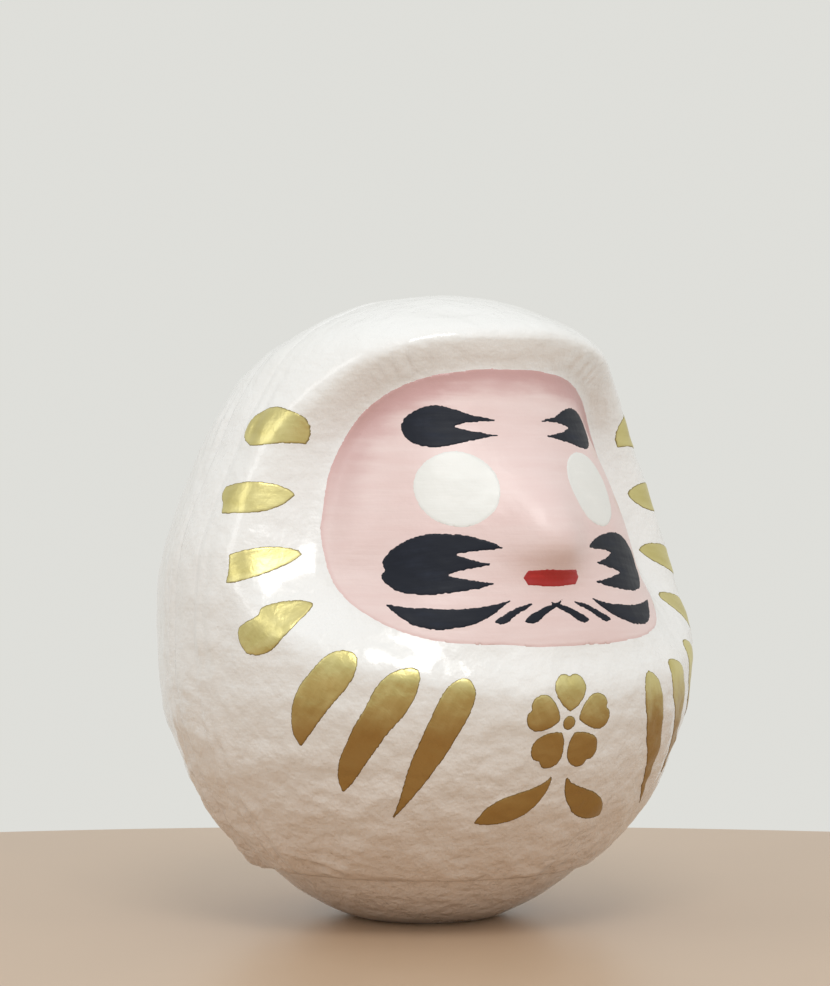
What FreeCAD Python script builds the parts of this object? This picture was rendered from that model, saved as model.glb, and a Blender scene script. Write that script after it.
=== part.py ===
"""A daruma doll: a hollow papier-mache tumbler on a weighted round foot, with its painted marks.

The pulp body is moulded in a front and a back half, butted on the plane y = 0 and joined by a
pasted paper strip. Its turned-in bottom lip is glued to a moulded pulp dish, and a clay weight
fills the dish, so that the doll rights itself. Every coat of coloured paint is its own thin solid.

Millimetres, +Z up, the face looks along -Y, the origin is the middle of the flat it stands on.
"""

import FreeCAD
import Part

import math
import os

# ---- driving dimensions ---------------------------------------------------------------------

body_height = 168.0          # table to the crown of the hood
body_radius = 73.3           # at the widest level
shell_wall = 1.8             # moulded paper pulp
foot_height = 14.5           # table to the underside of the body
foot_radius = 43.0           # the dish at its rim
foot_flat_radius = 19.0      # the flat that it rests on
foot_step = 2.0              # the body overhangs the dish all round
dish_wall = 2.2
lip_opening_radius = 33.0    # hole in the body's bottom, where the mould came out
boss_height = 6.0            # clay that stands up through that hole
boss_clearance = 0.4         # clay to the edge of the hole
boss_chamfer = 2.0
glue_bead = 4.0              # leg of the bead round the clay, on the lip
strip_width = 12.0           # pasted paper over the joint
strip_thickness = 0.4
paint_thickness = 0.2        # one coat of thick chalk paint

face_recess = 10.2           # depth of the face below the round of the body, at its middle
face_recess_side = 6.5       # how much deeper it lies at its sides
face_half_turn = 61.0        # degrees round from the middle of the face to its side
face_roundness = 2.5         # 2 is an ellipse, more is squarer
hood_roll_width = 0.25       # share of the face's half size over which the hood rolls in
cheek_roll_width = 0.28      # the same at the sides of the face
hood_lean = 8.0              # the hood stands this far forward at the crown
hood_swell = 1.2             # extra roll on the edge of the hood
nose_height = 9.0
nose_half_width = 11.5
nose_bridge = 17.0           # how slowly the nose fades upwards
nose_tip = 7.0               # and downwards

# Outlines are drawn for a body of this radius and this height above the foot, and grow with it.
drawn_radius = 73.3
drawn_height = 153.5

columns = 72                 # of the surface's control net, closest together round the face
rows = 46

# ---- the shape of the body ------------------------------------------------------------------

rise = body_height - foot_height
across = body_radius / drawn_radius
upward = rise / drawn_height


def level(share):
    """Height above the table of a share of the body's rise."""
    return foot_height + share * rise


# Half outline from the lip to the crown: share of the radius, share of the rise.
HALF_OUTLINE = [
    (0.729, 0.054), (0.865, 0.147), (0.962, 0.257), (1.0, 0.388), (0.989, 0.518),
    (0.918, 0.635), (0.825, 0.739), (0.726, 0.827), (0.622, 0.896), (0.410, 0.961),
]


def body_outline():
    """The body's outline in the XZ plane, one smooth curve from lip to crown to lip."""
    points = [FreeCAD.Vector(foot_radius + foot_step, 0, foot_height)]
    points += [FreeCAD.Vector(r * body_radius, 0, level(h)) for r, h in HALF_OUTLINE]
    mirrored = [FreeCAD.Vector(-p.x, 0, p.z) for p in reversed(points)]
    curve = Part.BSplineCurve()
    curve.interpolate(Points=points + [FreeCAD.Vector(0, 0, body_height)] + mirrored)
    return curve


outline = body_outline()
half_length = outline.length() / 2
face_level = level(0.629)
face_half_height = 0.244 * rise
chin_level = level(0.375)
mouth_side_level = level(0.531)
nose_level = level(0.577)
brow_level = level(0.752)
lean_level = level(0.831)
hood_level = level(0.870)
crown_level = level(0.954)


def ease(low, high, x):
    """0 below low, 1 above high, and a smooth curve between them."""
    t = min(1.0, max(0.0, (x - low) / (high - low)))
    return t * t * (3 - 2 * t)


def bell(x):
    return math.exp(-x * x)


def from_face(turn, z):
    """0 at the middle of the face, 1 on its edge, more outside it; and how far this is sideways."""
    sideways = (abs(turn) / math.radians(face_half_turn)) ** face_roundness
    upwards = (abs(z - face_level) / face_half_height) ** face_roundness
    away = (sideways + upwards) ** (1 / face_roundness)
    return away, sideways / (sideways + upwards + 1e-9)


def relief(turn, radius, z):
    """How far the surface stands out from the plain round body: face, nose and hood."""
    away, sideways = from_face(turn, z)
    roll_width = hood_roll_width + (cheek_roll_width - hood_roll_width) * sideways
    inside = 1 - ease(0.97, 0.97 + roll_width, away)
    side_share = min(1.2, (turn / math.radians(face_half_turn)) ** 2)
    depth = face_recess + face_recess_side * side_share
    depth *= 0.45 + 0.55 * ease(chin_level, mouth_side_level, z)
    depth *= 1 - 0.3 * ease(brow_level, hood_level, z)
    roll = hood_swell * bell((away - 1.27) / 0.13) * ease(mouth_side_level, crown_level, z)
    nose = 0.0
    if abs(turn) < math.pi / 2:
        fade = nose_bridge if z > nose_level else nose_tip
        nose = nose_height * bell(radius * math.sin(turn) / nose_half_width)
        nose *= bell((z - nose_level) / fade)
    return roll + nose - depth * inside


def lean(z):
    """How far forward the body's middle lies at a level."""
    return hood_lean * ease(lean_level, crown_level, z)


def surface_point(turn, travel):
    """A point of the outer surface: turn from the middle of the face, travel 0 lip to 1 crown."""
    on_outline = outline.value(outline.parameterAtDistance(travel * half_length))
    radius = on_outline.x
    z = on_outline.z
    out = radius + relief(turn, radius, z) * ease(0.0, 0.3 * body_radius, radius)
    return FreeCAD.Vector(out * math.sin(turn), -out * math.cos(turn) - lean(z), z)


def column_turn(column):
    """The columns' places round the body from back to back, closest together in front."""
    even = 2 * math.pi * column / columns - math.pi
    return even - 0.45 * math.sin(even)


def outward(turn, travel):
    """Unit normal of the outer surface."""
    small = 1e-3
    travel = min(max(travel, small), 1 - small)
    round_it = surface_point(turn + small, travel) - surface_point(turn - small, travel)
    up_it = surface_point(turn, travel + small) - surface_point(turn, travel - small)
    return round_it.cross(up_it).normalize()


def control_net():
    """Points of the outer surface and their normals, one list for each column."""
    net = []
    for column in range(columns):
        turn = column_turn(column)
        travels = [row / (rows - 1) for row in range(rows - 1)]
        points = [(surface_point(turn, t), outward(turn, t)) for t in travels]
        crown = FreeCAD.Vector(0, -hood_lean, body_height)
        points.append((crown, FreeCAD.Vector(0, 0, 1)))
        net.append(points)
    return net


NET = control_net()


def body_solid(offset=0.0):
    """The closed solid inside the body's outer surface moved out by offset."""
    poles = [[point + normal * offset for point, normal in column] for column in NET]
    surface = Part.BSplineSurface()
    surface.buildFromPolesMultsKnots(
        poles,
        [1] * (columns + 1),
        [4] + [1] * (rows - 4) + [4],
        list(range(columns + 1)),
        list(range(rows - 2)),
        True,
        False,
        3,
        3,
    )
    side = surface.toShape()
    low = [e for e in side.Edges if e.BoundBox.ZMax < foot_height + shell_wall]
    shell = Part.Shell([side, Part.Face(Part.Wire(low))])
    shell.sewShape()
    solid = Part.Solid(shell)
    if solid.Volume < 0:
        solid.reverse()
    return solid


# ---- pieces of the body ---------------------------------------------------------------------

def box(low_y, high_y):
    """A block as wide and tall as the doll needs, between two planes across Y."""
    half = 2 * body_radius
    corner = FreeCAD.Vector(-half, low_y, -half)
    return Part.makeBox(2 * half, high_y - low_y, 2 * half + body_height, corner)


def half_shells(outer):
    """The front and the back half of the hollow pulp body."""
    opening = Part.makeCylinder(lip_opening_radius, foot_height, FreeCAD.Vector(0, 0, foot_height / 2))
    hollow = outer.cut(body_solid(-shell_wall)).cut(opening)
    far = 2 * body_radius
    return hollow.common(box(-far, 0)), hollow.common(box(0, far))


def seam_strip(outer):
    """Paper pasted over the joint, from the foot up over the crown and down again."""
    half = 2 * body_radius
    corner = FreeCAD.Vector(-half, -strip_width / 2, foot_height)
    slab = Part.makeBox(2 * half, strip_width, 2 * body_height, corner)
    return body_solid(strip_thickness).cut(outer).common(slab)


# ---- the foot -------------------------------------------------------------------------------

def dome():
    """Centre height and radius of the sphere through the flat's edge and the dish's rim."""
    centre = (foot_radius**2 + foot_height**2 - foot_flat_radius**2) / (2 * foot_height)
    return centre, math.hypot(foot_flat_radius, centre)


def dome_cup(inset):
    """The solid below the rim plane and inside the dome, moved in by inset."""
    centre, radius = dome()
    ball = Part.makeSphere(radius - inset, FreeCAD.Vector(0, 0, centre))
    half = 2 * foot_radius
    slab = Part.makeBox(2 * half, 2 * half, foot_height - inset, FreeCAD.Vector(-half, -half, inset))
    return ball.common(slab)


def foot_dish():
    """The moulded pulp dish under the body."""
    return dome_cup(0).cut(dome_cup(dish_wall))


def lip_top():
    """Level of the lip's upper face, inside the body."""
    return body_solid(-shell_wall).BoundBox.ZMin


def clay_weight():
    """Clay that fills the dish and stands up through the lip's opening."""
    boss_radius = lip_opening_radius - boss_clearance
    boss = Part.makeCylinder(boss_radius, boss_height, FreeCAD.Vector(0, 0, foot_height))
    top = [e for e in boss.Edges if e.BoundBox.ZMin > foot_height + boss_height / 2]
    boss = boss.makeChamfer(boss_chamfer, top)
    return dome_cup(dish_wall).fuse(boss).removeSplitter()


def glue_ring():
    """Bead of glue round the clay, on the lip."""
    inner = lip_opening_radius - boss_clearance
    low = lip_top()
    corner = FreeCAD.Vector(inner, 0, low)
    out = corner + FreeCAD.Vector(glue_bead, 0, 0)
    up = corner + FreeCAD.Vector(0, 0, glue_bead)
    hollow = (out + up) * 0.5 - FreeCAD.Vector(0.1, 0, 0.1) * glue_bead
    edges = [
        Part.makeLine(corner, out),
        Part.Arc(out, hollow, up).toShape(),
        Part.makeLine(up, corner),
    ]
    return Part.Face(Part.Wire(edges)).revolve(FreeCAD.Vector(), FreeCAD.Vector(0, 0, 1), 360)


# ---- painted marks --------------------------------------------------------------------------

CORNER = True


def outline_face(points, place):
    """A flat face through points of (across, up) or (across, up, CORNER), smooth between corners."""
    spots = [place(p[0], p[1]) for p in points]
    corners = [i for i, p in enumerate(points) if len(p) == 3]
    if not corners:
        curve = Part.BSplineCurve()
        curve.interpolate(Points=spots, PeriodicFlag=True)
        return Part.Face(Part.Wire([curve.toShape()]))
    edges = []
    for i, start in enumerate(corners):
        end = corners[(i + 1) % len(corners)]
        count = (end - start - 1) % len(points) + 1
        run = [spots[(start + k) % len(points)] for k in range(count + 1)]
        if len(run) == 2:
            edges.append(Part.makeLine(*run))
        else:
            curve = Part.BSplineCurve()
            curve.interpolate(Points=run)
            edges.append(curve.toShape())
    return Part.Face(Part.Wire(edges))


def stamp(points, turn_degrees, height, mirrored=False):
    """The outline pushed through the body's side at a turn, with its middle at a height."""
    turn = math.radians(-turn_degrees if mirrored else turn_degrees)
    out = FreeCAD.Vector(math.sin(turn), -math.cos(turn), 0)
    along = FreeCAD.Vector(math.cos(turn), math.sin(turn), 0)
    sign = -1 if mirrored else 1
    start = out * (0.15 * body_radius)

    def place(sideways, up):
        z = level((height - 14.5) / drawn_height) + up * upward
        return start + along * (sign * sideways * across) + FreeCAD.Vector(0, 0, z)

    return outline_face(points, place).extrude(out * (1.3 * body_radius))


def coat(number):
    """The whole skin of paint coat number 1, on the body, or 2, on coat 1."""
    outer = body_solid(paint_thickness * number)
    return outer.cut(body_solid(paint_thickness * (number - 1)))


# Outlines in millimetres on the drawn body: sideways away from the middle of the face, and up.
FACE = [
    (0, 36.6), (12, 36.0), (24, 33.0), (33, 27.5), (39, 18), (44, 6), (47.3, -7),
    (48, -17), (46, -25), (38.5, -31.2), (25, -34), (12, -34.6), (0, -34.8),
]
BROW = [
    (-12.6, 1.5, CORNER), (-8.5, 2.5), (-4, 3.6), (2.5, 5.6), (9.5, 4.4), (13.2, 0), (11.2, -3.8),
    (5, -5.4), (-3.5, -3.9), (-8.5, -3), (-13.4, -2.1, CORNER), (-9.5, -1.8), (-5.5, -1.2),
    (-0.5, 0.1, CORNER), (-4, 1), (-8.5, 1.3),
]
CHEEK = [
    (-15.8, 3.8, CORNER), (-8.5, 6.7), (-0.7, 7.8), (6, 7.3), (11.4, 5), (15.9, 0.4, CORNER),
    (15.1, -1.4, CORNER), (16.1, -3, CORNER), (13.2, -6.4), (6.5, -7.8), (-1.5, -7.3), (-9, -6.2),
    (-14.4, -4.7, CORNER), (-7.5, -3.9), (-0.9, -2.8, CORNER), (-6.5, -1.2),
    (-13.7, -0.1, CORNER), (-8, 0.8), (-3.1, 2.4, CORNER), (-9, 3.3),
]
LIP_BEARD = [
    (-16.4, 3.9, CORNER), (-11.5, 0.2), (-5, -2.7), (2.5, -4), (9, -2.9), (13.3, -0.3),
    (16.8, 2.6, CORNER), (9.5, 1.8), (0.8, 1.4), (-8.5, 2.1),
]
OUTER_WHISKER = [
    (4.6, 2.7, CORNER), (8.6, 0.6), (13, -1.8), (16.4, -3.2), (17.9, -2.6), (15.6, -0.9), (10.2, 1.5),
]
INNER_WHISKER = [
    (-2.7, 3.1, CORNER), (0, 0.9), (4.2, -1.3), (8.2, -3.2), (9.8, -2.6), (6.8, -0.2), (2, 1.6),
]
MOUTH = [
    (-8.6, 0, CORNER), (-7.2, 2, CORNER), (0, 2.25), (7.2, 2, CORNER), (8.6, 0, CORNER),
    (7.4, -2, CORNER), (0, -2.35), (-7.4, -2, CORNER),
]
TEMPLE_1 = [
    (-6.6, -4.6, CORNER), (-7.5, -1), (-7, 2.6), (-4, 4.6), (0.4, 5.4), (5.8, 4.7),
    (11, -1.3, CORNER), (4, -4.9), (-1.5, -4.4),
]
TEMPLE_2 = [
    (-7, 0.7, CORNER), (-5.4, 2.5), (-1.4, 4), (6, 3.6), (10, 2.8, CORNER), (10.6, 0.6),
    (9.2, -1.5, CORNER), (8.4, -4.6, CORNER), (2, -4.4), (-4.4, -3),
]
TEMPLE_3 = [
    (-5.9, 2.3, CORNER), (-3.4, 4), (0.6, 4.4), (8.2, 2.4, CORNER), (7.7, -1.5), (7.8, -5, CORNER),
    (2.6, -4.4), (-2.4, -2),
]
TEMPLE_4 = [
    (-7.9, 3.2), (-8.2, 5.8), (-5.6, 7), (3, 3.4, CORNER), (9, -0.2, CORNER), (9.2, -3),
    (6, -7, CORNER), (-1.5, -5.8), (-5.8, -1.6),
]
BELLY_1 = [
    (6.6, -13.3, CORNER), (8.8, -8), (7, 0.5), (2.2, 6.8), (-5.6, 11.9), (-9.3, 10.4), (-9.4, 6.2),
    (-4.5, -0.5), (2.5, -8.3),
]
BELLY_2 = [
    (8.4, -16.7, CORNER), (9.4, -13.2), (6.8, -4), (1.4, 5), (-7.6, 15.3), (-12.3, 15), (-12.7, 11),
    (-7.5, 2), (0.6, -7.5), (6.5, -15),
]
BELLY_3 = [
    (9.4, -19, CORNER), (7.4, -13), (4.2, -2.4), (-0.8, 9), (-5.6, 16.8), (-9.4, 18), (-11.6, 15.6),
    (-10.6, 9.5), (-6, 1), (1, -9),
]
PETAL = [(0, 2.9, CORNER), (-3.4, 5.6), (-4.8, 9.6), (-2.6, 12.4), (0, 12, CORNER), (2.6, 12.4),
         (4.8, 9.6), (3.4, 5.6)]
LEAF = [(0, 0, CORNER), (4.4, -3.2), (10.5, -5.2), (17.5, -12.5, CORNER), (8, -12), (1.8, -6.8)]

BLOSSOM_LIFT = 7.0           # the flower's middle above the middle of the belly mark
LEAF_PLACES = [(2.0, -6.2), (-2.0, -6.2)]
PETALS = 5
STAMEN_RADIUS = 1.9
BELLY_MARK_LEVEL = 50.0
EYE_HALF_WIDTH = 11.0
EYE_HALF_HEIGHT = 9.8

# Node, outline, degrees round from the middle of the face, height of its middle on the drawn body.
FACE_PAIRS = [
    ("brow", BROW, 22, 132.0),
    ("cheek_beard", CHEEK, 26, 97.0),
    ("lip_beard", LIP_BEARD, 25, 84.5),
    ("outer_whisker", OUTER_WHISKER, 0, 85.0),
]
GOLD_PAIRS = [
    ("temple_mark_1", TEMPLE_1, 73, 132.0),
    ("temple_mark_2", TEMPLE_2, 74, 114.0),
    ("temple_mark_3", TEMPLE_3, 69, 97.0),
    ("temple_mark_4", TEMPLE_4, 64, 81.0),
    ("belly_stroke_1", BELLY_1, 52, 64.0),
    ("belly_stroke_2", BELLY_2, 42, 56.0),
    ("belly_stroke_3", BELLY_3, 30, 51.0),
]
SIDES = [("left", False), ("right", True)]   # the doll's own left and right; its left is at +X


def both_halves(half):
    """A half outline from top to bottom of the middle, closed with its mirror image."""
    return half + [(-x, z) for x, z in reversed(half[1:-1])]


def oval(half_width, half_height, points=12):
    turns = [2 * math.pi * i / points for i in range(points)]
    return [(half_width * math.cos(t), half_height * math.sin(t)) for t in turns]


def turned(points, degrees, lift):
    """Points turned about their origin, then lifted."""
    c = math.cos(math.radians(degrees))
    s = math.sin(math.radians(degrees))
    moved = []
    for p in points:
        moved.append((p[0] * c - p[1] * s, p[0] * s + p[1] * c + lift) + tuple(p[2:]))
    return moved


def blossom():
    """Stamps of the gold plum blossom: five petals and the dot between them."""
    stamps = []
    for i in range(PETALS):
        petal = turned(PETAL, 360 * i / PETALS, BLOSSOM_LIFT)
        stamps.append(stamp(petal, 0, BELLY_MARK_LEVEL))
    dot = turned(oval(STAMEN_RADIUS, STAMEN_RADIUS), 0, BLOSSOM_LIFT)
    stamps.append(stamp(dot, 0, BELLY_MARK_LEVEL))
    return stamps


def leaves():
    """Stamps of the two gold leaves under the blossom."""
    stamps = []
    for side, (x, z) in zip((1, -1), LEAF_PLACES):
        leaf = [(side * p[0] + x, p[1] + z) + tuple(p[2:]) for p in LEAF]
        stamps.append(stamp(leaf, 0, BELLY_MARK_LEVEL))
    return stamps


def painted_marks():
    """Node name and solid of every painted mark."""
    first = coat(1)
    second = coat(2)
    marks = {"face_paint": first.common(stamp(both_halves(FACE), 0, 111.0))}
    marks["mouth"] = second.common(stamp(MOUTH, 0, 93.5))
    crossed = stamp(INNER_WHISKER, 0, 85.0).fuse(stamp(INNER_WHISKER, 0, 85.0, True))
    marks["crossed_whiskers"] = second.common(crossed.removeSplitter())
    for side, mirrored in SIDES:
        eye = stamp(oval(EYE_HALF_WIDTH, EYE_HALF_HEIGHT), 22, 116.0, mirrored)
        marks["eye_" + side] = second.common(eye)
        for name, points, turn, height in FACE_PAIRS:
            marks[name + "_" + side] = second.common(stamp(points, turn, height, mirrored))
        for name, points, turn, height in GOLD_PAIRS:
            marks[name + "_" + side] = first.common(stamp(points, turn, height, mirrored))
    marks["gold_blossom"] = Part.makeCompound([first.common(s) for s in blossom()])
    marks["gold_leaves"] = Part.makeCompound([first.common(s) for s in leaves()])
    return marks


# ---- export ---------------------------------------------------------------------------------

def write(name, shape):
    """One STEP for a node, holding only its solids."""
    solids = shape.Solids
    whole = solids[0] if len(solids) == 1 else Part.makeCompound(solids)
    whole.exportStep("parts/" + name + ".step")
    volume = sum(s.Volume for s in solids)
    print(f"{name:24s} {len(solids)} solid(s) {volume:10.1f} mm3 valid {whole.isValid()}")


def main():
    os.makedirs("parts", exist_ok=True)
    outer = body_solid()
    front, back = half_shells(outer)
    pieces = {
        "front_shell": front,
        "back_shell": back,
        "seam_strip": seam_strip(outer),
        "foot_dish": foot_dish(),
        "clay_weight": clay_weight(),
        "glue_bead": glue_ring(),
    }
    pieces.update(painted_marks())
    for name, shape in pieces.items():
        write(name, shape)


main()
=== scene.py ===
# %% [markdown]
# # A daruma doll in papier-mache
#
# The doll is a hollow shell of paper pulp, moulded in two halves, joined with a pasted strip, and
# stood on a weighted dish. It is primed with chalk white, glossed, and painted with a brush.
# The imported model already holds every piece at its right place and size. This lesson gives those
# pieces the look of the real thing: the lumps and wrinkles of the pulp, and paint that follows them.
# Loading the model comes first, because everything after it measures from it.

import math

import bpy
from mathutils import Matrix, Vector, kdtree, noise
from mathutils.bvhtree import BVHTree
from mathutils.geometry import delaunay_2d_cdt


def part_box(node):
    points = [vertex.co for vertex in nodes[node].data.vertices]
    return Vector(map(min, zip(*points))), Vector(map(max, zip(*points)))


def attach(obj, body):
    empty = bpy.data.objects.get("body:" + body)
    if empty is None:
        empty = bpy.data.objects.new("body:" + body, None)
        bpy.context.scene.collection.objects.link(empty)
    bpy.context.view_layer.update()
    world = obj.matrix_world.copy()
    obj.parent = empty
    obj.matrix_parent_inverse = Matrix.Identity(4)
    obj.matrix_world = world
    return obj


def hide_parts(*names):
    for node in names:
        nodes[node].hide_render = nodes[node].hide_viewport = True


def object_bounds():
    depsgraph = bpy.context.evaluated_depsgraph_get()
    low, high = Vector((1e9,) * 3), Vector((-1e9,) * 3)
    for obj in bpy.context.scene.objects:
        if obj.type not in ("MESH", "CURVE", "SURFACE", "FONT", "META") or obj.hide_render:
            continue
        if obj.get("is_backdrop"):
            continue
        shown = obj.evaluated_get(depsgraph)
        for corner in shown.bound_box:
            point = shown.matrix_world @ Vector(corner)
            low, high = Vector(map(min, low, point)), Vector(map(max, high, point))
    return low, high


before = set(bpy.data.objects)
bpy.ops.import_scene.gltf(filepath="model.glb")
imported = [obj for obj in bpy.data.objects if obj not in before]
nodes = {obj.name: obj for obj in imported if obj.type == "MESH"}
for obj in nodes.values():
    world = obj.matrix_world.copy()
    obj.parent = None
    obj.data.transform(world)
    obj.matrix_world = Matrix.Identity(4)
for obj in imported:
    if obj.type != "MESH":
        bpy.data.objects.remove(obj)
cad_low, cad_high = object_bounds()
MM = 0.001
print("pieces in the packed model:", len(nodes))
print("size in mm:", [round(side / MM, 1) for side in cad_high - cad_low])

# %% [markdown]
# ## Writing nodes as sums
#
# Both the finishes and the lumps of the pulp are node trees. Adding nodes one by one hides the
# idea, so a `Wire` wraps a socket and turns `a * 2 + b` into Math nodes, and a `Bench` is the one
# place where any node is made: its settings first, and then what feeds it. The same two classes
# serve a material and a Geometry Nodes tree, because both know the Math node.

# %% A wire that can be added and multiplied
class Wire:
    """A socket's output, as a number that can be used in sums."""

    def __init__(self, bench, socket):
        self.bench = bench
        self.socket = socket

    def __add__(self, other):
        return self.bench.math("ADD", self, other)

    def __sub__(self, other):
        return self.bench.math("SUBTRACT", self, other)

    def __rsub__(self, other):
        return self.bench.math("SUBTRACT", other, self)

    def __mul__(self, other):
        return self.bench.math("MULTIPLY", self, other)

    def __truediv__(self, other):
        return self.bench.math("DIVIDE", self, other)

    __radd__ = __add__
    __rmul__ = __mul__


# %% A bench on which nodes are made
class Bench:
    """One node tree, and the ways to put nodes into it."""

    def __init__(self, tree):
        self.tree = tree

    def node(self, kind, settings=(), feeds=()):
        made = self.tree.nodes.new(kind)
        for name, value in dict(settings).items():
            setattr(made, name, value)
        for key, value in dict(feeds).items():
            if isinstance(value, Wire):
                self.tree.links.new(value.socket, made.inputs[key])
            else:
                made.inputs[key].default_value = value
        return made

    def wire(self, kind, settings=(), feeds=(), out=0):
        return Wire(self, self.node(kind, settings, feeds).outputs[out])

    def math(self, operation, *values):
        return self.wire("ShaderNodeMath", {"operation": operation}, enumerate(values))

    def vector(self, operation, *values):
        return self.wire("ShaderNodeVectorMath", {"operation": operation}, enumerate(values))

    def ease(self, value, low, high):
        """0 below low and 1 above high, smooth between them."""
        feeds = {0: value, 1: low, 2: high}
        return self.wire("ShaderNodeMapRange", {"interpolation_type": "SMOOTHSTEP"}, feeds)

    def bell(self, value, width):
        """1 where value is 0, falling to nothing a few widths away."""
        share = value / width
        return self.math("EXPONENT", share * share * -1.0)

    def grain(self, place, size, detail=1.0, seed=0.0, warp=0.0):
        """Soft noise from -1 to 1 whose lumps are about size wide; size may differ along X, Y, Z."""
        sizes = size if isinstance(size, tuple) else (size,) * 3
        scaled = self.vector("DIVIDE", place, sizes)
        feeds = {"Vector": scaled, "W": seed, "Scale": 1.0, "Detail": detail, "Distortion": warp}
        made = self.wire("ShaderNodeTexNoise", {"noise_dimensions": "4D"}, feeds)
        return (made - 0.5) * 2.6

    def cells(self, place, size, seed=0.0):
        """Distance to the nearest of many scattered spots that are about size apart."""
        scaled = self.vector("DIVIDE", place, (size,) * 3)
        feeds = {"Vector": scaled, "W": seed, "Scale": 1.0}
        return self.wire("ShaderNodeTexVoronoi", {"voronoi_dimensions": "4D"}, feeds) * size

    def blend(self, share, first, second):
        """The first colour where share is 0, the second where it is 1."""
        feeds = {0: share, 6: first, 7: second}
        return self.wire("ShaderNodeMix", {"data_type": "RGBA"}, feeds, out=2)


print("wires and benches are ready")

# %% [markdown]
# ## Finishes
#
# Each finish starts from the same few facts about the real coat: its colours, how far its
# roughness wanders, and how deep its grain is in millimetres. `start_finish` makes the material
# and hands back its bench with the place on the doll in millimetres. Things that are the same all
# over, such as the clear coat's roughness, are set straight on the shader.

# %% Start and end a finish
def start_finish(name):
    """A new material, its bench, and the place on the doll in millimetres."""
    material = bpy.data.materials.new(name)
    material.use_nodes = True
    material.node_tree.nodes.clear()
    bench = Bench(material.node_tree)
    place = bench.wire("ShaderNodeTexCoord", out="Object")
    return material, bench, bench.vector("MULTIPLY", place, (1000.0, 1000.0, 1000.0))


def end_finish(bench, colour, rough, height, fixed=()):
    """Puts colour, roughness and a height in millimetres on a Principled shader."""
    feeds = {"Height": height, "Strength": 1.0, "Distance": MM}
    normal = bench.wire("ShaderNodeBump", (), feeds)
    feeds = {"Base Color": colour, "Roughness": rough, "Normal": normal}
    feeds.update(fixed)
    shader = bench.wire("ShaderNodeBsdfPrincipled", (), feeds)
    bench.node("ShaderNodeOutputMaterial", (), {"Surface": shader})


def stroke_place(bench):
    """Place within a brush mark in millimetres: X along the stroke, Y across it."""
    uv = bench.wire("ShaderNodeUVMap", {"uv_map": "stroke"})
    return bench.vector("MULTIPLY", uv, (100.0, 100.0, 0.0))


def to_edge(bench):
    """Millimetres from the edge of a brush mark."""
    return bench.wire("ShaderNodeAttribute", {"attribute_name": "to_edge"}, out="Fac")


# %% [markdown]
# ### Chalk white under gloss
# The body is brushed with a thick white made from ground shell or chalk, and then glossed. Close
# up it is not one white: thin places let the grey pulp through, the gloss yellows a little, and
# there are pin-holes, specks of grit and the drag of the brush. Towards the foot the white is
# painted warm brown: that is painted reflection, the bounce of the table below. The foot handles more dirt.

# %% Chalk white finish
def chalk_white(name, painted_table_bounce):
    material, bench, place = start_finish(name)
    height_up = bench.wire("ShaderNodeSeparateXYZ", (), {0: place}, out="Z")
    cloud = bench.ease(bench.grain(place, 24.0, 3.0, 1.0), -0.5, 0.9)
    thin = bench.ease(bench.grain(place, (9.0, 9.0, 16.0), 4.0, 2.0), 0.25, 0.95)
    low = 1.0 - bench.ease(height_up, 8.0, 70.0)
    colour = bench.blend(cloud, (0.88, 0.885, 0.895, 1), (0.845, 0.845, 0.845, 1))
    colour = bench.blend(thin * (0.25 + 0.45 * low), colour, (0.72, 0.64, 0.57, 1))
    # Painted reflection: the white is tinted warm brown towards the foot, as if lit by the table.
    colour = bench.blend(low * painted_table_bounce, colour, (0.66, 0.46, 0.31, 1))
    specks = 1.0 - bench.ease(bench.cells(place, 13.0, 3.0), 0.25, 0.6)
    colour = bench.blend(specks * 0.75, colour, (0.42, 0.37, 0.33, 1))
    drag = bench.grain(place, (7.0, 7.0, 0.9), 3.0, 4.0)
    fibre = bench.grain(place, 0.7, 2.0, 5.0)
    dimple = bench.grain(place, 4.4, 3.0, 6.0)
    pin = 1.0 - bench.ease(bench.cells(place, 8.5, 7.0), 0.15, 0.75)
    blister = 1.0 - bench.ease(bench.cells(place, 15.0, 8.0), 0.2, 1.6)
    height = dimple * (0.24 + 0.46 * low) + drag * 0.024 + fibre * 0.014
    height = height + blister * 0.22 - pin * 0.16
    rough = 0.27 + 0.10 * cloud + 0.05 * bench.grain(place, 2.5, 2.0, 9.0)
    fixed = {"Coat Weight": 0.65, "Coat Roughness": 0.07, "Coat IOR": 1.5, "IOR": 1.5}
    end_finish(bench, colour, rough, height, fixed)
    return material


body_white = chalk_white("chalk_white_body", 0.52)
foot_white = chalk_white("chalk_white_foot", 0.48)
print("made", body_white.name, "and", foot_white.name)
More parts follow.
